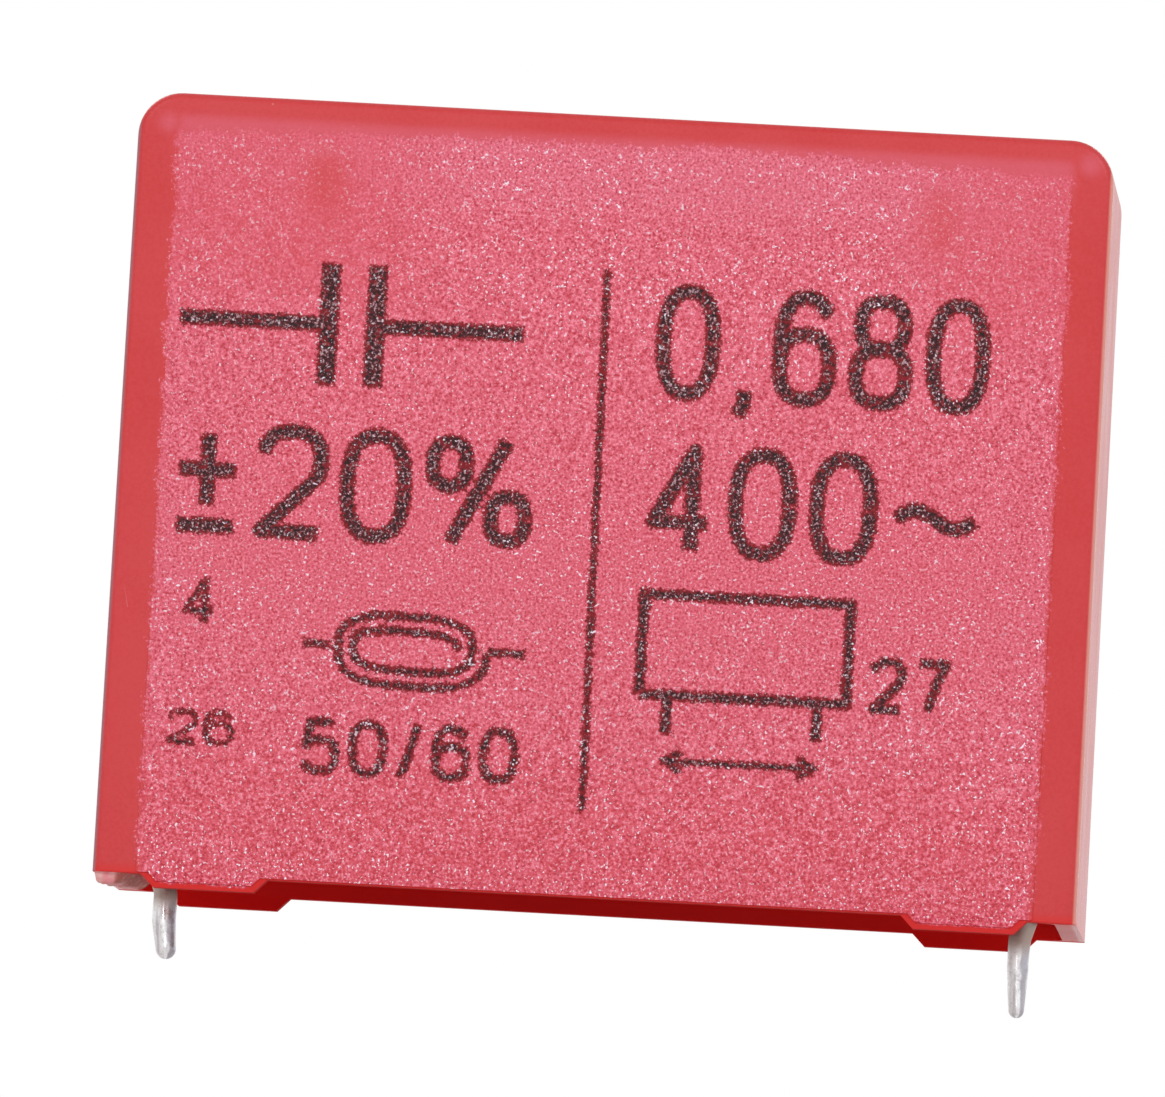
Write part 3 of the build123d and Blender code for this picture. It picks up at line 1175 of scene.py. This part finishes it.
@dataclass
class MouldedCase:
    """The moulded case: a copy of its solid, with real grain cut into both panels."""

    STRENGTH = "grain_strength"
    GLITTER = "glitter"
    INK = "ink_depth"
    NORMAL = "solid_normal"

    front_step: float = 0.10
    back_step: float = 0.20
    grain_depth: float = 0.006
    finest: float = 0.13
    coarsest: float = 0.60
    top_fade: float = 0.20
    side_fade: float = 0.25
    slope_shading: float = 0.10
    slope_side: float = 14.5
    slope_top: float = 24.35
    calm: tuple[SoftOval, ...] = (
        SoftOval((-9.5, 22.9), (1.0, 1.9), 0.70),
        SoftOval((10.1, 22.6), (1.2, 1.8), 0.60),
        SoftOval((4.5, 23.2), (3.0, 0.9), 0.25),
    )
    glints: float = 0.30
    edge_glints: float = 0.55
    edge_at: Span = (-14.0, 0.22)
    edge_below: Span = (22.5, 2.0)
    low_glints: Span = (0.45, 0.95)
    low_at: Span = (0.85, 0.55)
    more_from: Span = (5.0, 6.0)
    corner_glints: SoftOval = SoftOval((13.6, 23.2), (0.8, 0.7), 0.3)

    def build(self, marking: Marking) -> Piece:
        """Build the case.

        Args:
            marking: The print on the front.

        Returns:
            The case, which stands for its solid.
        """
        solid = bpy.data.objects["case"].data
        shape = bmesh.new()
        shape.from_mesh(solid)
        true_normal = shape.loops.layers.float_vector.new(self.NORMAL)
        corners = (corner for face in shape.faces for corner in face.loops)
        for corner, normal in zip(corners, solid.corner_normals):
            corner[true_normal] = normal.vector
        bmesh.ops.remove_doubles(shape, verts=shape.verts, dist=TOUCHING)
        layers = [shape.verts.layers.float.new(n) for n in (self.STRENGTH, self.GLITTER, self.INK)]
        for vertex in shape.verts:
            vertex[layers[-1]] = -1.0
        for face, step in ((Face.FRONT, self.front_step), (Face.BACK, self.back_step)):
            self._cut(shape, self._panel(shape, face), step)
            self._grain(shape, face, marking, layers)
        return self._finish(shape)

    @staticmethod
    def _panel(shape: Shape, face: Face) -> set[bmesh.types.BMFace]:
        """Find the flat panel on one large face, and tag it by its material index.

        Args:
            shape: The case.
            face: The large face.

        Returns:
            The panel's mesh faces.
        """
        outward = face.value
        facing = [f for f in shape.faces if f.normal.y * outward > 0.9999]
        far = max(v.co.y * outward for f in facing for v in f.verts)
        touching = [f for f in facing if max(v.co.y * outward for v in f.verts) > far - TOUCHING]
        found = {max(touching, key=lambda f: f.calc_area())}
        waiting = list(found)
        while waiting:
            here = waiting.pop()
            beside = {other for edge in here.edges for other in edge.link_faces} - found
            flat = [other for other in beside if other.normal.angle(here.normal) < 1e-4]
            found.update(flat)
            waiting += flat
        for member in found:
            member.material_index = 2 + outward
        return found

    @staticmethod
    def _cut(shape: Shape, panel: set[bmesh.types.BMFace], step: float) -> None:
        """Cut the panel into small squares.

        Args:
            shape: The case.
            panel: The panel's faces.
            step: The squares' side, in millimetres.
        """
        for axis in (0, 2):
            normal = Vector()
            normal[axis] = 1
            values = [v.co[axis] / MM for f in panel for v in f.verts]
            low, count = min(values), int((max(values) - min(values)) / step)
            remaining, panel = list(panel), set(panel)
            for place in range(1, count + 1):
                at = (low + place * step) * MM
                edges = {e for f in remaining for e in f.edges}
                corners = {v for f in remaining for v in f.verts}
                result = bmesh.ops.bisect_plane(
                    shape,
                    geom=[*remaining, *edges, *corners],
                    dist=CUTTING,
                    plane_co=normal * at,
                    plane_no=normal,
                )
                pieces = [g for g in result["geom"] if isinstance(g, bmesh.types.BMFace)]
                panel.update(pieces)
                remaining = [f for f in pieces if f.calc_center_bounds().dot(normal) > at]

    def _grain(self, shape: Shape, face: Face, marking: Marking, layers: list) -> None:
        """Sink the panel's inner points and store how strong its grain and print are.

        Args:
            shape: The case.
            face: The large face that the panel is on.
            marking: The print, which only the front has.
            layers: The points' layers for the grain's strength, its glitter and the ink.
        """
        tag = 2 + face.value
        members = [f for f in shape.faces if f.material_index == tag]
        corners = list({v for f in members for v in f.verts})
        x, z = np.array([(v.co.x, v.co.z) for v in corners]).T / MM
        relief = Relief(7 + tag, self.finest, self.coarsest, self.grain_depth).at(x, z)
        depth = marking.depth(x, z) if face is Face.FRONT else np.full(x.shape, -1.0)
        stored = (self._kept(x, z, face), self._glitter(x, z, face), depth)
        normal = members[0].normal.copy()
        for vertex, sink, *values in zip(corners, relief, *stored):
            for layer, value in zip(layers, values):
                vertex[layer] = value
            if all(f.material_index == tag for f in vertex.link_faces):
                vertex.co -= normal * float(sink * values[0] * MM)

    def _kept(self, x: np.ndarray, z: np.ndarray, face: Face) -> np.ndarray:
        """Work out how strong the grain is over one panel.

        Args:
            x: The points' X, in millimetres.
            z: Their Z.
            face: The large face that the panel is on.

        Returns:
            The strength at each point, from 0 to 1.
        """
        kept = eased(np.clip((z.max() - z) / self.top_fade, 0, 1))
        for patch in self.calm if face is Face.FRONT else ():
            kept = kept * (1 - patch.at(x, z))
        return kept * np.clip((x.max() - np.abs(x)) / self.side_fade, 0, 1)

    def _glitter(self, x: np.ndarray, z: np.ndarray, face: Face) -> np.ndarray:
        """Work out how many painted glints show, which is most near the lower and outer edges.

        Args:
            x: The points' X, in millimetres.
            z: Their Z.
            face: The large face that the panel is on.

        Returns:
            The level at each point.
        """
        side = x * face.value
        edge = np.exp(-(((side - self.edge_at[0]) / self.edge_at[1]) ** 2))
        edge *= np.clip((self.edge_below[0] - z) / self.edge_below[1], 0, 1)
        low = np.exp(-np.clip(z - self.low_at[0], 0, None) / self.low_at[1])
        low *= np.interp(side, (self.more_from[0], sum(self.more_from)), self.low_glints)
        return self.glints + self.edge_glints * edge + low + self.corner_glints.at(side, z)

    def _finish(self, shape: Shape) -> Piece:
        """Turn the shape into a piece with smooth grain and elsewhere its solid's normals.

        Args:
            shape: The finished shape, which is freed.

        Returns:
            The piece.
        """
        made = as_piece("case_shell", shape)
        mesh = made.data
        normals = read(mesh.attributes[self.NORMAL].data, "vector", 3)
        point = read(mesh.loops, "vertex_index")
        tags = read(mesh.polygons, "material_index")
        tag = np.repeat(tags, read(mesh.polygons, "loop_total"))
        rim = np.zeros(len(mesh.vertices), bool)
        rim[point[tag == 0]] = True
        grained = (tag > 0) & ~rim[point]
        normals[grained] = read(mesh.vertex_normals, "vector", 3)[point[grained]]
        self._soften(normals, read(mesh.vertices, "co", 3)[point] / MM)
        normals /= np.linalg.norm(normals, axis=1, keepdims=True)
        mesh.polygons.foreach_set("material_index", np.zeros(len(tags), int))
        mesh.normals_split_custom_set(normals.tolist())
        mesh.attributes.remove(mesh.attributes[self.NORMAL])
        return made

    def _soften(self, normals: np.ndarray, places: np.ndarray) -> None:
        """Let the narrow slope round each panel shade almost like the panel itself.

        Args:
            normals: The corners' normals, which are changed.
            places: Where the corners are, in millimetres.
        """
        steep = np.abs(normals[:, 1])
        inside = (np.abs(places[:, 0]) < self.slope_side) & (places[:, 2] < self.slope_top)
        narrow = (steep > 0.2) & (steep < 0.9995) & inside
        flat = np.sign(normals[narrow]) * (0, 1, 0)
        share = self.slope_shading
        normals[narrow] = share * normals[narrow] + (1 - share) * flat


@dataclass(frozen=True)
class TinnedLeads:
    """The two leads: rings that follow their solids, with the lumps that old solder left."""

    # Per point, how far it faces the lit side of the wire, for painted highlight and shade.
    LIT_SIDE = "flank"

    sides: int = 48
    step: float = 0.07
    tip: float = 0.30
    tip_rings: int = 10
    tip_turn: Span = (8.0, 78.0)
    top: float = 1.45
    margin: float = 0.004
    lump: float = 0.8
    stretch: float = 0.55
    depth: float = 0.055
    dimples: float = 0.9
    finer_dimples: float = 0.3
    finer: float = 2.3
    wire_radius: float = 0.4
    least_reach: float = 0.02
    # Which way round the wire the lit side faces.
    lit_side_turn: float = math.radians(16.0)

    def build(self, node: str, name: str) -> Piece:
        """Build one lead.

        Args:
            node: The lead's solid.
            name: The new piece's name.

        Returns:
            The lead, which stands for its solid.
        """
        shape = bmesh.new()
        shape.from_mesh(bpy.data.objects[node].data)
        bmesh.ops.remove_doubles(shape, verts=shape.verts, dist=TOUCHING)
        skin = BVHTree.FromBMesh(shape)
        low = min(v.co.z for v in shape.verts) / MM
        cut = bmesh.ops.bisect_plane(
            shape,
            geom=[*shape.verts, *shape.edges, *shape.faces],
            dist=CUTTING,
            plane_co=(0, 0, self.top * MM),
            plane_no=(0, 0, 1),
            clear_inner=True,
        )
        rim = [g for g in cut["geom_cut"] if isinstance(g, bmesh.types.BMEdge)]
        middle = sum((e.verts[0].co for e in rim), Vector()) / len(rim)
        flank = shape.verts.layers.float.new(self.LIT_SIDE)
        turn = np.linspace(0, 2 * math.pi, self.sides, endpoint=False)
        rings = []
        for level in self._levels(low):
            middle = self._centred(skin, Vector((middle.x, middle.y, level * MM)))
            rings.append([shape.verts.new(place) for place in self._ring(skin, middle, turn)])
            for vertex, side in zip(rings[-1], np.cos(turn - self.lit_side_turn)):
                vertex[flank] = side
        turned = [ring[1:] + ring[:1] for ring in rings]
        first = [shape.edges.new(pair) for pair in zip(rings[0], turned[0])]
        bmesh.ops.bridge_loops(shape, edges=[*rim, *first])
        for above, above_next, below, below_next in zip(rings, turned, rings[1:], turned[1:]):
            for corners in zip(above, below, below_next, above_next):
                shape.faces.new(corners)
        end = shape.verts.new((middle.x, middle.y, (low + self.margin) * MM))
        for here, there in zip(rings[-1], turned[-1]):
            shape.faces.new((here, end, there))
        bmesh.ops.recalc_face_normals(shape, faces=shape.faces)
        return as_piece(name, shape)

    def _levels(self, low: float) -> np.ndarray:
        """Heights of the rings, from the top down, closer together at the rounded tip.

        Args:
            low: The lowest point of the lead, in millimetres.

        Returns:
            The heights in millimetres.
        """
        straight = np.arange(self.top - self.step, low + self.tip, -self.step)
        turn = np.radians(np.linspace(*self.tip_turn, self.tip_rings))
        return np.concatenate((straight, low + self.tip * (1 - np.sin(turn))))

    @staticmethod
    def _centred(skin: BVHTree, guess: Vector) -> Vector:
        """Move a point inside the lead to the middle of the wire at its height.

        Args:
            skin: The solid's surface.
            guess: A point inside it.

        Returns:
            The middle.
        """
        centre = guess.copy()
        for axis in (0, 1):
            way = Vector()
            way[axis] = 1
            ends = [skin.ray_cast(guess, way * sign)[0] for sign in (1, -1)]
            if all(ends):
                centre[axis] = (ends[0][axis] + ends[1][axis]) / 2
        return centre

    def _ring(self, skin: BVHTree, middle: Vector, turn: np.ndarray) -> list[Vector]:
        """Place points round the wire, each a little inside the solid.

        Args:
            skin: The solid's surface.
            middle: The middle of the wire at the ring's height.
            turn: The points' angles.

        Returns:
            The points.
        """
        places = []
        for angle in turn:
            way = Vector((math.cos(angle), math.sin(angle), 0))
            reach = skin.ray_cast(middle, way)[3] or self.least_reach * MM
            spot = (middle + way * reach) / (self.lump * MM)
            spot.z *= self.stretch
            sink = 0.5 + self.dimples * noise.noise(spot)
            sink += self.finer_dimples * noise.noise(spot * self.finer)
            deep = (self.margin + self.depth * min(max(sink, 0), 1)) * MM
            share = min(reach / (self.wire_radius * MM), 1)
            places.append(middle + way * (reach - deep * share))
        return places


@dataclass(frozen=True)
class ResinCreep:
    """Resin that ran over the left end's rim and hangs from it in uneven lumps."""

    outer: float = -15.64
    wall: float = -15.00
    inner: float = -13.95
    front: float = -7.30
    back: float = 6.95
    rim: float = 0.42
    level: float = 1.30
    hang: float = 0.385
    hidden: float = 0.015
    sunk: float = 0.05
    lowest: float = 0.02
    thinned_at: float = 0.93
    end_round: float = 0.02
    side_round: float = 0.16
    inner_loss: float = 0.6
    lump: float = 0.20
    lump_noise: Place = (1.3, 0.5, 3.0)
    ripple: float = 0.05
    ripple_noise: Place = (3.6, 0.35, 9.0)
    rows: int = 110
    columns: int = 26

    def build(self) -> Piece:
        """Build the creep.

        Returns:
            The piece.
        """
        shape = bmesh.new()
        lower, upper = [], []
        for row in range(self.rows + 1):
            y = self.front + (self.back - self.front) * row / self.rows
            for column in range(self.columns + 1):
                x = self.outer + (self.inner - self.outer) * column / self.columns
                for sheet, z in zip((lower, upper), self._heights(x, y, row / self.rows)):
                    sheet.append(shape.verts.new((x * MM, y * MM, z * MM)))
        width, last = self.columns + 1, self.rows * (self.columns + 1)
        for start in range(0, last, width):
            for at in range(start, start + self.columns):
                ring = (at, at + 1, at + width + 1, at + width)
                shape.faces.new([lower[i] for i in reversed(ring)])
                shape.faces.new([upper[i] for i in ring])
        border = [*range(self.columns), *range(self.columns, last + self.columns, width)]
        border += [*range(last + self.columns, last, -1), *range(last, 0, -width)]
        for here, there in zip(border, border[1:] + border[:1]):
            shape.faces.new((lower[here], lower[there], upper[there], upper[here]))
        return as_piece("resin_creep", shape)

    def _heights(self, x: float, y: float, along: float) -> Span:
        """Work out the creep's lower and upper height at one place.

        Args:
            x: The place's X, in millimetres.
            y: Its Y.
            along: How far it lies from the front, from 0 to 1.

        Returns:
            The lower and the upper height.
        """
        patterns = (self.lump_noise, self.ripple_noise)
        lump, ripple = (noise.noise(Vector((x * a, y * b, c))) for a, b, c in patterns)
        drop = self.hang * max(1 - along / self.thinned_at, 0.0) * (1 + self.lump * lump)
        drop += self.ripple * ripple
        ends = min(along / self.end_round, (1 - along) / self.end_round, 1.0)
        side = min((x - self.outer) / self.side_round, 1.0)
        drop *= math.sqrt(1 - (1 - ends) ** 2) * math.sqrt(1 - (1 - side) ** 2)
        inward = min(max((x - self.wall) / (self.inner - self.wall), 0.0), 1.0)
        drop *= 1 - self.inner_loss * inward
        rise = (self.level - self.rim) * eased(inward)
        bottom = max(self.rim + self.hidden - max(drop, 0.0) + rise, self.lowest)
        return bottom, bottom + 4 * self.sunk if inward > 0 else self.rim + self.sunk


# The whole object


@dataclass
class Capacitor:
    """The object: its case, its resin, its leads and what is sealed inside."""

    effects: Effects
    nodes: dict[str, Piece]

    def case(self) -> list[Piece]:
        """Build and dress the case."""
        red = MouldedPlastic("moulded_red").build(self.effects)
        return [self._place(MouldedCase().build(Marking().lay_out()), red, "case")]

    def leads(self) -> list[Piece]:
        """Build and dress both leads.

        Returns:
            The left and the right lead.
        """
        tin = TinnedWire("tinned_copper").build(self.effects)
        made = []
        for node in ("left_lead", "right_lead"):
            lead = TinnedLeads().build(node, f"{node}_tinned")
            made.append(self._place(lead, tin, node))
        return made

    def creep(self) -> list[Piece]:
        """Build and dress the resin that ran over the left rim."""
        pale = CreptResin("crept_resin").build(self.effects)
        return [self._place(ResinCreep().build(), pale)]

    def filling(self) -> list[Piece]:
        """Dress the solids that stay as they are: the resin and the sealed element.

        Returns:
            Those solids.
        """
        light, dark = (0.80, 0.80, 0.78), (0.70, 0.70, 0.68)
        clear = FilmTurns("clear_film", light, dark, line=0.8, metallic=0.0, roughness=0.18)
        finishes = {
            CastResin("cast_resin"): ("resin_seal",),
            FilmTurns("metallised_film"): ("film_winding",),
            clear: ("outer_wrap",),
            SprayedMetal("sprayed_zinc"): ("left_end_spray", "right_end_spray"),
        }
        dressed = []
        for finish, nodes in finishes.items():
            material = finish.build(self.effects)
            dressed += [self._dress(self.nodes[node], material) for node in nodes]
        return dressed

    @staticmethod
    def _dress(piece: Piece, material: Material) -> Piece:
        """Put one material on a piece.

        Args:
            piece: The piece.
            material: Its material.

        Returns:
            The piece.
        """
        if not piece.material_slots:
            piece.data.materials.append(material)
        for place in piece.material_slots:
            place.material = material
        return piece

    def _place(self, piece: Piece, material: Material, node: str = "") -> Piece:
        """Dress a new piece and seat it in the frame.

        Args:
            piece: The piece.
            material: Its material.
            node: The solid that it stands for, if it stands for one.

        Returns:
            The piece.
        """
        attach(piece, "root")
        if node:
            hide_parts(node)
        return self._dress(piece, material)


# The studio


@dataclass(frozen=True)
class Lamp:
    """A flat lamp that points at the object, with its place in degrees and metres."""

    name: str
    azimuth: float
    elevation: float
    distance: float
    size: Point
    watts: float
    tint: Colour = (1.0, 1.0, 1.0)

    def build(self, aim: Vector) -> Piece:
        """Hang the lamp.

        Args:
            aim: What it points at.

        Returns:
            The lamp.
        """
        light = bpy.data.lights.new(self.name, "AREA")
        light.shape = "RECTANGLE"
        light.size, light.size_y = self.size
        light.energy = self.watts
        light.color = self.tint
        made = in_scene(self.name, light)
        across, up = math.radians(self.azimuth), math.radians(self.elevation)
        flat = math.cos(up)
        away = Vector((math.sin(across) * flat, -math.cos(across) * flat, math.sin(up)))
        made.location = aim + away * self.distance
        made.rotation_euler = away.to_track_quat("Z", "Y").to_euler()
        return made


@dataclass(frozen=True)
class Studio:
    """A pale floor, a white surround, soft lamps and the photograph's camera.

    The camera's distance and slide are in millimetres, its angles in degrees, and its scale is
    in pixels for each millimetre of the object, in a frame as wide as the photograph.
    """

    RAYS = ("Camera", "Glossy", "Transmission")

    frame_width: int = 1165
    sensor: float = 36.0
    aim_height: float = 13.0
    distance: float = 789.604
    scale: float = 31.09
    right_of_axis: float = 2.4446
    below_level: float = 3.0708
    roll: float = 3.2318
    slide: Point = (-0.9736, -1.072)
    floor_side: float = 6.0
    floor_colour: Colour = (0.86, 0.86, 0.86)
    floor_bounce: Colour = (0.80, 0.80, 0.80)
    floor_shown: float = 0.6
    ambient: float = 0.45
    lamps: tuple[Lamp, ...] = (
        Lamp("upper_left", -28.0, 26.0, 0.50, (0.10, 0.10), 0.58, (0.92, 0.95, 1.0)),
        Lamp("upper_right", 30.0, 24.0, 0.50, (0.10, 0.10), 0.53, (0.92, 0.95, 1.0)),
        Lamp("front_strip", -3.0, 9.0, 0.90, (0.09, 0.42), 0.80, (0.94, 0.96, 1.0)),
        Lamp("back_left", 150.0, 30.0, 0.55, (0.22, 0.22), 0.72),
        Lamp("back_right", -145.0, 35.0, 0.55, (0.22, 0.22), 0.72),
    )

    def build(self) -> list[Piece]:
        """Build the floor, the surround, the lamps and the camera.

        Returns:
            Every object that was made.
        """
        bpy.context.scene.view_settings.view_transform = "Standard"
        self._surround()
        aim = Vector((0, 0, self.aim_height * MM))
        return [self._floor(), self._camera(), *(lamp.build(aim) for lamp in self.lamps)]

    def _surround(self) -> None:
        """Light the object softly, and show white behind it and in its reflections."""
        world = bpy.data.worlds.new("white_surround")
        world.use_nodes = True
        bpy.context.scene.world = world
        w = Wiring(world.node_tree)
        path = w.node("LightPath")
        seen, mirrored, through = (w.out(path, f"Is {kind} Ray") for kind in self.RAYS)
        strength = seen.over(mirrored).over(through) * (1.0 - self.ambient) + self.ambient
        w.fill(w.tree.nodes["Background"], Color=(1.0, 1.0, 1.0), Strength=strength)

    def _floor(self) -> Piece:
        """Lay the floor under the leads. It is open to a camera that looks up through it.

        Returns:
            The floor.
        """
        low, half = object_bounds()[0][2], self.floor_side / 2
        mesh = bpy.data.meshes.new("floor")
        corners = [(-half, -half, low), (half, -half, low), (half, half, low), (-half, half, low)]
        mesh.from_pydata(corners, [], [(0, 1, 2, 3)])
        floor = in_scene("floor", mesh)

        material = bpy.data.materials.new("pale_floor")
        material.use_nodes = True
        w = Wiring(material.node_tree)
        path = w.node("LightPath")
        bounce = w.out(path, "Is Diffuse Ray")
        colour = w.layers(self.floor_colour, (bounce, self.floor_bounce))
        _, mirrored, through = (w.out(path, f"Is {kind} Ray") for kind in self.RAYS)
        share = mirrored.over(through) * self.floor_shown
        plain, glow = w.out(w.node("BsdfDiffuse", colour)), w.out(w.node("Emission"))
        shown = w.out(w.node("MixShader", share, plain, glow))
        below = w.out(w.node("NewGeometry"), "Backfacing")
        clear = w.out(w.node("BsdfTransparent"))
        surface = w.out(w.node("MixShader", below, shown, clear))
        w.fill(w.tree.nodes["Material Output"], Surface=surface)
        mesh.materials.append(material)
        floor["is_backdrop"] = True
        return floor

    def _camera(self) -> Piece:
        """Put the camera where the photograph was taken.

        Returns:
            The camera.
        """
        lens = bpy.data.cameras.new("camera")
        lens.sensor_fit = "HORIZONTAL"
        lens.sensor_width = self.sensor
        lens.lens = self.scale * self.distance / self.frame_width * self.sensor
        lens.clip_start, lens.clip_end = 0.01, 100.0
        yaw, pitch, roll = map(math.radians, (self.right_of_axis, self.below_level, self.roll))
        flat = math.cos(pitch)
        back = Vector((math.sin(yaw) * flat, -math.cos(yaw) * flat, -math.sin(pitch)))
        right = Vector((math.cos(yaw), math.sin(yaw), 0))
        up = back.cross(right)
        along = right * math.cos(roll) + up * math.sin(roll)
        above = up * math.cos(roll) - right * math.sin(roll)
        turn = Matrix((along, above, back)).transposed().to_4x4()
        place = Vector((0, 0, self.aim_height))
        place += right * self.slide[0] + up * self.slide[1] + back * self.distance
        camera = in_scene("camera", lens)
        camera.matrix_world = Matrix.Translation(place * MM) @ turn
        bpy.context.scene.camera = camera
        return camera


def main() -> None:
    """Build the scene and report each piece."""
    logging.basicConfig(level=logging.INFO, format="%(message)s")
    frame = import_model()
    studio = Studio()
    capacitor = Capacitor(Effects(), frame["nodes"])
    steps = (studio.build, capacitor.case, capacitor.leads, capacitor.creep, capacitor.filling)
    for step in steps:
        for piece in step():
            faces = len(piece.data.polygons) if piece.type == "MESH" else 0
            LOG.info("%s: %s, %d faces", step.__qualname__, piece.name, faces)


if __name__ == "__main__":
    main()
